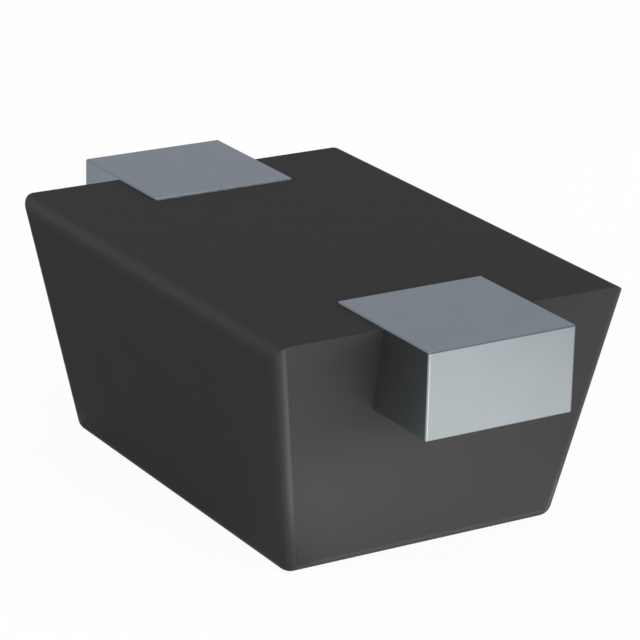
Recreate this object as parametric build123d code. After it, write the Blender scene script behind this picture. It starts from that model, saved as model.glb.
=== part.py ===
from build123d import *
import math
import os

# A two-terminal flat-lead diode, lying on the narrow face of its housing with
# the board side up. Sizes are in millimetres. The origin is the centre of the
# housing's wide face, X runs along the part towards the bond post terminal, Z
# is up, the way the solder pads face.

# Housing, measured on sharp corners at the wide face
body_length = 0.80
body_width = 0.612
body_height = 0.386
draft_angle = 10.0
mould_radius = 0.0235

# Terminals outside the housing
overall_length = 1.034
terminal_width = 0.25
terminal_thickness = 0.134
terminal_standoff = 0.0035
pad_length = 0.2435
terminal_edge_radius = 0.003

# Inner ends of the terminals, etched to about half thickness from the board side
inner_thickness = 0.067
etched_root_radius = 0.012
frame_gap = 0.08
bond_post_length = 0.145
bond_post_width = 0.31
die_pad_width = 0.35
lock_overlap = 0.03
frame_corner_radius = 0.025

# Chip, its joint to the die pad and its contact
die_side = 0.22
die_thickness = 0.08
attach_thickness = 0.006
attach_margin = 0.006
attach_corner_radius = 0.012
contact_side = 0.13
contact_thickness = 0.003
contact_corner_radius = 0.015

# Bond wire
wire_diameter = 0.018
ball_diameter = 0.046
ball_height = 0.011
ball_edge_radius = 0.0065
loop_rise = 0.048
kink_radius = 0.016
shoulder_radius = 0.05
stitch_length = 0.036
stitch_width = 0.030
stitch_corner_radius = 0.012
stitch_tail = 0.004

# Levels, worked out from the wide face at zero
narrow_face = -body_height
pad_face = terminal_standoff
frame_face = pad_face - terminal_thickness
die_back = frame_face - attach_thickness
die_front = die_back - die_thickness
contact_face = die_front - contact_thickness
loop_level = contact_face - loop_rise

# Stations along X
outer_end = overall_length / 2
inner_end = outer_end - pad_length
die_pad_length = 2 * inner_end - bond_post_length - frame_gap
die_x = die_pad_length / 2 - inner_end
stitch_x = inner_end - bond_post_length / 2


def drafted_profile(width):
    """A wall-to-wall section of the housing: its widest at the wide face, drawn in by the draft below it."""
    wide = width / 2
    narrow = wide - body_height * math.tan(math.radians(draft_angle))
    return make_face(Polyline((-narrow, narrow_face), (narrow, narrow_face), (wide, 0), (-wide, 0), close=True))


def housing_envelope():
    """The outside of the housing, before the pieces moulded into it are taken out."""
    long_section = extrude(Plane.XZ * drafted_profile(body_length), amount=body_width, both=True)
    cross_section = extrude(Plane.YZ * drafted_profile(body_width), amount=body_length, both=True)
    block = long_section & cross_section
    sharp_edges = block.edges().group_by(Axis.Z)[-1].filter_by(Axis.Y)
    return fillet(block.edges() - sharp_edges, mould_radius)


def terminal(inner_length, inner_width):
    """One terminal on the +X side: a full thickness bar, and an etched inner end that the compound grips."""
    bar_centre = Pos((outer_end + inner_end) / 2, 0, (pad_face + frame_face) / 2)
    bar = bar_centre * Box(pad_length, terminal_width, terminal_thickness)
    bar = fillet(bar.edges(), terminal_edge_radius)
    plan_length = inner_length + lock_overlap
    plan_centre = Pos(inner_end + lock_overlap - plan_length / 2, 0, frame_face)
    plan = plan_centre * RectangleRounded(plan_length, inner_width, frame_corner_radius)
    root_level = frame_face + inner_thickness
    root = Pos(inner_end - etched_root_radius / 2, 0, root_level + etched_root_radius / 2) * Box(
        etched_root_radius, terminal_width - 2 * terminal_edge_radius, etched_root_radius
    )
    hollow = Pos(inner_end - etched_root_radius, 0, root_level + etched_root_radius)
    root -= hollow * Rot(90, 0, 0) * Cylinder(etched_root_radius, terminal_width)
    return bar + extrude(plan, amount=inner_thickness) + root


def bond_post_terminal():
    return terminal(bond_post_length, bond_post_width)


def die_pad_terminal():
    return mirror(terminal(die_pad_length, die_pad_width), about=Plane.YZ)


def layer(side, corner_radius, top, bottom):
    """A square layer of the chip's stack, between two levels."""
    outline = Pos(die_x, 0, bottom) * RectangleRounded(side, side, corner_radius)
    return extrude(outline, amount=top - bottom)


def die_attach_layer():
    return layer(die_side + 2 * attach_margin, attach_corner_radius, frame_face, die_back)


def silicon_die():
    outline = Pos(die_x, 0, die_front) * Rectangle(die_side, die_side)
    return extrude(outline, amount=die_thickness)


def die_contact_pad():
    return layer(contact_side, contact_corner_radius, die_front, contact_face)


def wire_loop():
    """The round wire, from inside the ball over the chip's edge to the post, cut off at the post's face."""
    over_chip_edge = (die_x + die_side / 2, 0, loop_level)
    on_post = (stitch_x, 0, frame_face)
    slope = (Vector(*on_post) - Vector(*over_chip_edge)).normalized()
    path = FilletPolyline(
        (die_x, 0, contact_face - ball_height / 2),
        (die_x, 0, loop_level),
        over_chip_edge,
        Vector(*on_post) + slope * wire_diameter,
        radius=[kink_radius, shoulder_radius],
    )
    wire = sweep(Plane(path @ 0, z_dir=path % 0) * Circle(wire_diameter / 2), path=path)
    return split(wire, bisect_by=Plane.XY.offset(frame_face), keep=Keep.BOTTOM)


def stitch():
    """The wire's far end, pressed flat on the post: it widens towards its end and thins to its tail."""
    heel = stitch_x - wire_diameter / 2
    tail = stitch_x + stitch_length
    fan = make_face(
        Polyline(
            (heel, -wire_diameter / 2),
            (tail, -stitch_width / 2),
            (tail, stitch_width / 2),
            (heel, wire_diameter / 2),
            close=True,
        )
    )
    fan = fillet(fan.vertices().group_by(Axis.X)[-1], stitch_corner_radius)
    wedge = make_face(
        Polyline(
            (heel, 0, frame_face),
            (tail, 0, frame_face),
            (tail, 0, frame_face - stitch_tail),
            (heel, 0, frame_face - wire_diameter / 2),
            close=True,
        )
    )
    block = extrude(Pos(0, 0, frame_face - wire_diameter) * fan, amount=wire_diameter)
    return block & extrude(wedge, amount=stitch_width, both=True)


def bond_wire():
    """One wire: squashed ball on the contact, loop over the chip's edge, flat stitch on the post."""
    ball = Pos(die_x, 0, contact_face - ball_height / 2) * Cylinder(ball_diameter / 2, ball_height)
    ball = fillet(ball.edges().group_by(Axis.Z)[0], ball_edge_radius)
    return ball + wire_loop() + stitch()


inserts = {
    "bond_post_terminal": bond_post_terminal(),
    "die_pad_terminal": die_pad_terminal(),
    "die_attach_layer": die_attach_layer(),
    "silicon_die": silicon_die(),
    "die_contact_pad": die_contact_pad(),
    "bond_wire": bond_wire(),
}
moulded_body = housing_envelope()
for insert in inserts.values():
    moulded_body -= insert

os.makedirs("parts", exist_ok=True)
for name, piece in {"moulded_body": moulded_body, **inserts}.items():
    export_step(piece, f"parts/{name}.step")
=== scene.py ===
import math

import bpy
from mathutils import Matrix, Vector


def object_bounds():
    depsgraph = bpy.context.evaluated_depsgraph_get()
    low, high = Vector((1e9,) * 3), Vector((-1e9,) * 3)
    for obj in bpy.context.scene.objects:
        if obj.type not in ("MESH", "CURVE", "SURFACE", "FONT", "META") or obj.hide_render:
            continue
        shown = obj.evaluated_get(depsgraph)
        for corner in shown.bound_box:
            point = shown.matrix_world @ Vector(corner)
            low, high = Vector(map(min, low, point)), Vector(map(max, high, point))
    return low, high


# A two-terminal flat-lead diode under soft studio light. Lengths are in metres;
# MM and UM turn millimetres and micrometres into them. Angles of the housing and
# the softboxes are in degrees, all others in radians.

MM = 1e-3
UM = 1e-6
WHITE = (1, 1, 1)

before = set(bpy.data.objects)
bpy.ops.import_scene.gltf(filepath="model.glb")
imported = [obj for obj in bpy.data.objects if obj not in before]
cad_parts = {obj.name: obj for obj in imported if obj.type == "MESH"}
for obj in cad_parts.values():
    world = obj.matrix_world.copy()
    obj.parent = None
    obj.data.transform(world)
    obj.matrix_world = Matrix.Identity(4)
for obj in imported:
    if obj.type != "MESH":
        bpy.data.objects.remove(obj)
cad_low, cad_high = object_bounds()

# The camera stands off the corner between the near end and the left long side.
# Distances count half of the part's overall length.
HALF_LENGTH = (cad_high.x - cad_low.x) / 2
CAMERA_AZIMUTH = math.radians(-31.7141)
CAMERA_ELEVATION = math.radians(19.6868)
CAMERA_ROLL = math.radians(1.4456)
CAMERA_DISTANCE = 9.5355
CAMERA_ACROSS = 0.0197
CAMERA_UP = -0.2433
CLIP_START = 0.1 * MM
FOCAL_PIXELS = 3217.6
IMAGE_PIXELS = 640
SENSOR_MM = 36

# The dim room, which the housing and the terminals mirror, and the backdrop that
# the camera sees in its place. A strength or a radiance of 1 is white.
ROOM_TINT = (0.965, 1.0, 1.11)
ROOM_DARK = 0.25
ROOM_LIGHT = 0.367
ROOM_LIGHT_AZIMUTH = math.radians(157)
BACKDROP_GLOW = 0.99

# Floor, with the share of plain white in it where the camera or a mirror sees it.
# Mirrors and glass see a painted pool of light on it: its glow is full white round
# a point in front of the near end and falls off to a dim, blue-grey share of white.
FLOOR_SIZE = 100 * MM
FLOOR_TONE = (0.93, 0.93, 0.93)
FLOOR_GLOW = 0.95
PAINTED_POOL_DIM = 0.395
PAINTED_POOL_DIM_TINT = (0.88, 0.97, 1.13)
PAINTED_POOL_CENTRE = (1.4 * MM, -0.1 * MM)
PAINTED_POOL_INNER = 0.5 * MM
PAINTED_POOL_OUTER = 1.4 * MM

# Lamps. The floor panels reach between two X values, off the foot of an end
# face, and two Y values across. Two of them make one strip of glint. Its half
# nearer the part would wash out the near terminal's side, and is kept off it.
LAMP_TINT = (0.98, 0.995, 1.03)
SOFTBOX_DISTANCE = 14 * MM
PANEL_LIFT = 2 * UM
PANEL_START = 0.337 * MM
PANEL_END = 1.1 * MM
BOUNCE_ACROSS = (-0.19 * MM, 0.33 * MM)
FAR_BOUNCE_ACROSS = (-0.25 * MM, 0.25 * MM)
GLINT_START = 0.44 * MM
GLINT_CUT = 1.1 * MM
GLINT_END = 1.7 * MM
GLINT_ACROSS = (-0.32 * MM, -0.08 * MM)
GLINT_RADIANCE = 2.2

# The slick coat on the housing's rounded edges. It comes in between two angles
# off the nearest flat face. It is full where an edge faces an end, and weaker
# where the X of its normal is lower.
HOUSING_DRAFT = 10
COAT_STARTS_OFF_FACE = 3
COAT_FULL_OFF_FACE = 12
LONG_EDGE_NORMAL_X = 0.6
END_EDGE_NORMAL_X = 0.96
LONG_EDGE_SHARE = 0.26
EDGE_COAT = 0.44

# The range that nearly all of a noise texture's values lie in
NOISE_LOW = 0.3
NOISE_HIGH = 0.7


# Camera and lamps

def direction(azimuth, elevation):
    """A unit vector at an azimuth turned from +X towards +Y and an elevation above the floor."""
    return Vector((
        math.cos(elevation) * math.cos(azimuth),
        math.cos(elevation) * math.sin(azimuth),
        math.sin(elevation),
    ))


def aim(azimuth, elevation, roll=0):
    """The turn of what stands in a direction and looks back, with its right, up and back as columns."""
    back = direction(azimuth, elevation)
    right = direction(azimuth + math.pi / 2, 0)
    up = back.cross(right)
    turned_right = math.cos(roll) * right + math.sin(roll) * up
    turned_up = math.cos(roll) * up - math.sin(roll) * right
    return Matrix((turned_right, turned_up, back)).transposed()


def make_camera():
    data = bpy.data.cameras.new("camera")
    camera = bpy.data.objects.new("camera", data)
    bpy.context.scene.collection.objects.link(camera)
    turn = aim(CAMERA_AZIMUTH, CAMERA_ELEVATION, CAMERA_ROLL)
    place = turn @ Vector((CAMERA_ACROSS, CAMERA_UP, CAMERA_DISTANCE))
    camera.matrix_world = Matrix.Translation(HALF_LENGTH * place) @ turn.to_4x4()
    data.sensor_width = SENSOR_MM
    data.lens = FOCAL_PIXELS / IMAGE_PIXELS * SENSOR_MM
    data.clip_start = CLIP_START
    data.clip_end = FLOOR_SIZE
    bpy.context.scene.camera = camera


def lamp(name, width, height, radiance, place, turn):
    """A rectangular lamp of a given radiance, which shines down its own Z axis."""
    data = bpy.data.lights.new(name, "AREA")
    data.shape = "RECTANGLE"
    data.size = width
    data.size_y = height
    data.color = LAMP_TINT
    data.energy = radiance * math.pi * width * height
    made = bpy.data.objects.new(name, data)
    bpy.context.scene.collection.objects.link(made)
    made.matrix_world = Matrix.Translation(place) @ turn
    return made


def softbox(name, azimuth, elevation, wide, high, radiance):
    """A soft panel that faces the part from SOFTBOX_DISTANCE and fills given angles there, in degrees."""
    azimuth, elevation, wide, high = (math.radians(angle) for angle in (azimuth, elevation, wide, high))
    width = 2 * SOFTBOX_DISTANCE * math.tan(wide / 2)
    height = 2 * SOFTBOX_DISTANCE * math.tan(high / 2)
    place = SOFTBOX_DISTANCE * direction(azimuth, elevation)
    return lamp(name, width, height, radiance, place, aim(azimuth, elevation).to_4x4())


def floor_panel(name, x, y, radiance):
    """A panel that lies face up on the floor between two X and two Y values, unseen by the camera."""
    place = Vector((sum(x) / 2, sum(y) / 2, cad_low.z + PANEL_LIFT))
    face_up = Matrix.Rotation(math.pi, 4, "X")
    made = lamp(name, x[1] - x[0], y[1] - y[0], radiance, place, face_up)
    made.visible_camera = False
    return made


def shade_from(source, *nodes):
    """Keeps a lamp's direct light off some pieces, as a flag does in a studio."""
    shaded = bpy.data.collections.new(source.name + "_flag")
    for node in nodes:
        shaded.objects.link(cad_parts[node])
    for entry in shaded.collection_objects:
        entry.light_linking.link_state = "EXCLUDE"
    source.light_linking.receiver_collection = shaded


def make_lamps():
    """Three softboxes, and low panels that light the two end faces, most of them kept off the terminals."""
    key = softbox("key", azimuth=28, elevation=12.9, wide=94, high=22.5, radiance=7.9)
    back = softbox("back", azimuth=236, elevation=29, wide=93, high=46, radiance=0.98)
    softbox("overhead", azimuth=0, elevation=90, wide=52, high=52, radiance=0.85)
    bounce = floor_panel("bounce", (PANEL_START, PANEL_END), BOUNCE_ACROSS, radiance=0.95)
    glint = floor_panel("glint", (GLINT_START, GLINT_CUT), GLINT_ACROSS, GLINT_RADIANCE)
    floor_panel("edge_glint", (GLINT_CUT, GLINT_END), GLINT_ACROSS, GLINT_RADIANCE)
    far_bounce = floor_panel("far_bounce", (-PANEL_END, -PANEL_START), FAR_BOUNCE_ACROSS, radiance=2.4)
    for flagged in (key, back, bounce, glint, far_bounce):
        shade_from(flagged, "bond_post_terminal", "die_pad_terminal")


# Node helpers

def new_material(name):
    """An empty material, its node tree, and its Principled shader already on the output."""
    material = bpy.data.materials.new(name)
    material.use_nodes = True
    tree = material.node_tree
    tree.nodes.clear()
    output = tree.nodes.new("ShaderNodeOutputMaterial")
    shader = tree.nodes.new("ShaderNodeBsdfPrincipled")
    tree.links.new(shader.outputs["BSDF"], output.inputs["Surface"])
    return material, tree, shader


def place_group(tree, group, **values):
    """A node group in a material, its inputs set by name."""
    node = tree.nodes.new("ShaderNodeGroup")
    node.node_tree = group
    for name, value in values.items():
        node.inputs[name].default_value = value
    return node


def new_group(name, defaults, results):
    """An empty node group with its inputs, all numbers, and its outputs."""
    group = bpy.data.node_groups.new(name, "ShaderNodeTree")
    for value, default in defaults.items():
        made = group.interface.new_socket(name=value, in_out="INPUT", socket_type="NodeSocketFloat")
        made.default_value = default
    for result in results:
        group.interface.new_socket(name=result, in_out="OUTPUT", socket_type="NodeSocketFloat")
    return group, group.nodes.new("NodeGroupInput"), group.nodes.new("NodeGroupOutput")


def worked(tree, operation, *values):
    """One step of arithmetic on numbers and on what other nodes give."""
    node = tree.nodes.new("ShaderNodeMath")
    node.operation = operation
    for taken, value in zip(node.inputs, values):
        if isinstance(value, bpy.types.NodeSocket):
            tree.links.new(value, taken)
        else:
            taken.default_value = value
    return node.outputs[0]


def measured(tree, operation, coordinate, vector):
    """The distance of a texture coordinate from a point, or its dot product with a direction."""
    place = tree.nodes.new("ShaderNodeTexCoord")
    node = tree.nodes.new("ShaderNodeVectorMath")
    node.operation = operation
    node.inputs[1].default_value = vector
    tree.links.new(place.outputs[coordinate], node.inputs[0])
    return node.outputs["Value"]


def ranged(tree, value, start, end, low, high, smooth=False):
    """A value that runs from start to end, brought to run from low to high and held there."""
    node = tree.nodes.new("ShaderNodeMapRange")
    if smooth:
        node.interpolation_type = "SMOOTHSTEP"
    for name, number in zip(("From Min", "From Max", "To Min", "To Max"), (start, end, low, high)):
        node.inputs[name].default_value = number
    tree.links.new(value, node.inputs["Value"])
    return node.outputs["Result"]


def spread(tree, noise, low, high):
    """A noise value spread over a range."""
    return ranged(tree, noise, NOISE_LOW, NOISE_HIGH, low, high)


def blended(tree, factor, dark, light):
    """A colour between two, by a factor."""
    node = tree.nodes.new("ShaderNodeMix")
    node.data_type = "RGBA"
    node.inputs["A"].default_value = (*dark, 1)
    node.inputs["B"].default_value = (*light, 1)
    tree.links.new(factor, node.inputs["Factor"])
    return node.outputs["Result"]


def rays_of_kind(tree, *kinds):
    """1 for rays of the given kinds, 0 for all others."""
    rays = tree.nodes.new("ShaderNodeLightPath")
    seen = rays.outputs[kinds[0]]
    for kind in kinds[1:]:
        seen = worked(tree, "MAXIMUM", seen, rays.outputs[kind])
    return seen


def mix_onto(tree, output, factor, first, second):
    """Puts a mix of two shaders on an output, the first where the factor is 0."""
    mixed = tree.nodes.new("ShaderNodeMixShader")
    tree.links.new(factor, mixed.inputs["Fac"])
    tree.links.new(first, mixed.inputs[1])
    tree.links.new(second, mixed.inputs[2])
    tree.links.new(mixed.outputs["Shader"], tree.nodes[output].inputs["Surface"])


# Node groups

def grain_group():
    """Fine grain on a surface: a height, and a value that wanders over larger patches."""
    group, taken, given = new_group("grain", {"Grain": 6 * UM, "Patch": 120 * UM}, ("Height", "Cloud"))
    place = group.nodes.new("ShaderNodeTexCoord")
    for size, result, detail in (("Grain", "Height", 3.0), ("Patch", "Cloud", 2.0)):
        noise = group.nodes.new("ShaderNodeTexNoise")
        noise.inputs["Detail"].default_value = detail
        group.links.new(place.outputs["Object"], noise.inputs["Vector"])
        group.links.new(worked(group, "DIVIDE", 1, taken.outputs[size]), noise.inputs["Scale"])
        group.links.new(noise.outputs["Fac"], given.inputs[result])
    return group


def edge_group():
    """Marks the housing's rounded edges, where the mould is smoothest: 0 on a flat face, 1 at the ends."""
    group, taken, given = new_group("rounded_edges", {"Draft": HOUSING_DRAFT}, ("Edge",))
    place = group.nodes.new("ShaderNodeTexCoord")
    normal = group.nodes.new("ShaderNodeSeparateXYZ")
    group.links.new(place.outputs["Normal"], normal.inputs[0])
    towards = {axis: worked(group, "ABSOLUTE", normal.outputs[axis]) for axis in "XYZ"}

    # The cosine of the angle to the nearest flat face, the wide and narrow faces
    # first, then the two pairs of drafted walls
    draft = worked(group, "RADIANS", taken.outputs["Draft"])
    down = worked(group, "MULTIPLY", normal.outputs["Z"], worked(group, "SINE", draft))
    level = worked(group, "COSINE", draft)
    nearest = towards["Z"]
    for axis in "XY":
        across = worked(group, "MULTIPLY", towards[axis], level)
        nearest = worked(group, "MAXIMUM", nearest, worked(group, "SUBTRACT", across, down))

    starts = math.cos(math.radians(COAT_STARTS_OFF_FACE))
    full = math.cos(math.radians(COAT_FULL_OFF_FACE))
    rounded = ranged(group, nearest, starts, full, 0, 1, smooth=True)
    endways = ranged(group, towards["X"], LONG_EDGE_NORMAL_X, END_EDGE_NORMAL_X, LONG_EDGE_SHARE, 1)
    group.links.new(worked(group, "MULTIPLY", rounded, endways), given.inputs["Edge"])
    return group


# Finishes

def grained(name, grain, tones, grain_size, patch_size, depth):
    """A material with fine grain, whose tone wanders between two colours, and the nodes that finish it."""
    material, tree, shader = new_material(name)
    texture = place_group(tree, grain, Grain=grain_size, Patch=patch_size)
    cloud = spread(tree, texture.outputs["Cloud"], 0, 1)
    tree.links.new(blended(tree, cloud, *tones), shader.inputs["Base Color"])
    bump = tree.nodes.new("ShaderNodeBump")
    bump.inputs["Distance"].default_value = depth
    tree.links.new(texture.outputs["Height"], bump.inputs["Height"])
    tree.links.new(bump.outputs["Normal"], shader.inputs["Normal"])
    return material, tree, shader, texture


def moulding_compound(grain, rounded_edges):
    """Black epoxy, matt from the mould's spark-eroded walls, with a faint cloudiness and slicker edges."""
    material, tree, shader, texture = grained(
        "moulding_compound",
        grain,
        tones=((0.0222, 0.0211, 0.0195), (0.0236, 0.0225, 0.0209)),
        grain_size=7 * UM,
        patch_size=90 * UM,
        depth=0.15 * UM,
    )
    tree.links.new(spread(tree, texture.outputs["Cloud"], 0.60, 0.64), shader.inputs["Roughness"])
    shader.inputs["Specular IOR Level"].default_value = 0.18
    edges = place_group(tree, rounded_edges, Draft=HOUSING_DRAFT)
    tree.links.new(worked(tree, "MULTIPLY", edges.outputs["Edge"], EDGE_COAT), shader.inputs["Coat Weight"])
    shader.inputs["Coat Roughness"].default_value = 0.31
    return material


def metal(name, grain, tones, roughness, grain_size, patch_size, depth):
    """A metal whose tone and polish wander a little between two values."""
    material, tree, shader, texture = grained(name, grain, tones, grain_size, patch_size, depth)
    tree.links.new(spread(tree, texture.outputs["Height"], *roughness), shader.inputs["Roughness"])
    shader.inputs["Metallic"].default_value = 1
    return material


def floor_finish():
    """A pale floor, pale to the camera, with a painted pool of light for mirrors and glass, which keeps the
    part's shadow.
    """
    material, tree, shader = new_material("floor")
    shader.inputs["Base Color"].default_value = (*FLOOR_TONE, 1)
    shader.inputs["Roughness"].default_value = 1
    shader.inputs["Specular IOR Level"].default_value = 0
    # Painted pool of light: the glow that mirrors and glass see is brightest round a point in front of the
    # near end and dims away from it
    from_painted_pool = measured(tree, "DISTANCE", "Object", (*PAINTED_POOL_CENTRE, cad_low.z))
    painted_pool = ranged(tree, from_painted_pool, PAINTED_POOL_INNER, PAINTED_POOL_OUTER, 1, PAINTED_POOL_DIM, smooth=True)
    white_or_painted_pool = worked(tree, "MAXIMUM", rays_of_kind(tree, "Is Camera Ray"), painted_pool)
    white_and_painted_pool_glow = tree.nodes.new("ShaderNodeEmission")
    tree.links.new(white_or_painted_pool, white_and_painted_pool_glow.inputs["Strength"])
    tree.links.new(blended(tree, white_or_painted_pool, PAINTED_POOL_DIM_TINT, WHITE), white_and_painted_pool_glow.inputs["Color"])
    seen = rays_of_kind(tree, "Is Camera Ray", "Is Glossy Ray", "Is Transmission Ray")
    share = worked(tree, "MULTIPLY", seen, FLOOR_GLOW)
    mix_onto(tree, "Material Output", share, shader.outputs["BSDF"], white_and_painted_pool_glow.outputs["Emission"])
    return material


# Room and floor

def make_world():
    """A dim room, a little lighter beyond the part's far end, behind a white backdrop."""
    world = bpy.data.worlds.new("studio")
    world.use_nodes = True
    tree = world.node_tree
    ahead = measured(tree, "DOT_PRODUCT", "Generated", direction(ROOM_LIGHT_AZIMUTH, 0))
    room = tree.nodes["Background"]
    room.inputs["Color"].default_value = (*ROOM_TINT, 1)
    tree.links.new(ranged(tree, ahead, -1, 1, ROOM_DARK, ROOM_LIGHT), room.inputs["Strength"])
    backdrop = tree.nodes.new("ShaderNodeBackground")
    backdrop.inputs["Color"].default_value = (*WHITE, 1)
    backdrop.inputs["Strength"].default_value = BACKDROP_GLOW
    seen = rays_of_kind(tree, "Is Camera Ray", "Is Transmission Ray")
    mix_onto(tree, "World Output", seen, room.outputs["Background"], backdrop.outputs["Background"])
    bpy.context.scene.world = world


def make_floor():
    half = FLOOR_SIZE / 2
    mesh = bpy.data.meshes.new("floor")
    corners = [(x * half, y * half, cad_low.z) for x, y in ((-1, -1), (1, -1), (1, 1), (-1, 1))]
    mesh.from_pydata(corners, [], [(0, 1, 2, 3)])
    floor = bpy.data.objects.new("floor", mesh)
    bpy.context.scene.collection.objects.link(floor)
    mesh.materials.append(floor_finish())


# The finishes of the seven pieces

def dress(node, material):
    """Gives a CAD node its finish."""
    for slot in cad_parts[node].material_slots:
        slot.material = material


grain = grain_group()
dress("moulded_body", moulding_compound(grain, edge_group()))

tin_plating = metal(
    "tin_plating",
    grain,
    tones=((0.486, 0.530, 0.543), (0.500, 0.546, 0.559)),
    roughness=(0.23, 0.27),
    grain_size=4 * UM,
    patch_size=60 * UM,
    depth=0.015 * UM,
)
dress("bond_post_terminal", tin_plating)
dress("die_pad_terminal", tin_plating)

die_attach_solder = metal(
    "die_attach_solder",
    grain,
    tones=((0.50, 0.49, 0.47), (0.60, 0.59, 0.57)),
    roughness=(0.34, 0.50),
    grain_size=9 * UM,
    patch_size=40 * UM,
    depth=0.5 * UM,
)
dress("die_attach_layer", die_attach_solder)

silicon = metal(
    "silicon",
    grain,
    tones=((0.20, 0.21, 0.24), (0.23, 0.24, 0.27)),
    roughness=(0.16, 0.24),
    grain_size=3 * UM,
    patch_size=80 * UM,
    depth=0.03 * UM,
)
dress("silicon_die", silicon)

contact_aluminium = metal(
    "contact_aluminium",
    grain,
    tones=((0.82, 0.83, 0.84), (0.88, 0.89, 0.90)),
    roughness=(0.22, 0.34),
    grain_size=2 * UM,
    patch_size=30 * UM,
    depth=0.08 * UM,
)
dress("die_contact_pad", contact_aluminium)

gold_wire = metal(
    "gold_wire",
    grain,
    tones=((0.93, 0.66, 0.26), (1.00, 0.74, 0.33)),
    roughness=(0.16, 0.26),
    grain_size=5 * UM,
    patch_size=30 * UM,
    depth=0.04 * UM,
)
dress("bond_wire", gold_wire)

make_world()
make_floor()
make_camera()
make_lamps()
bpy.context.scene.view_settings.view_transform = "Standard"
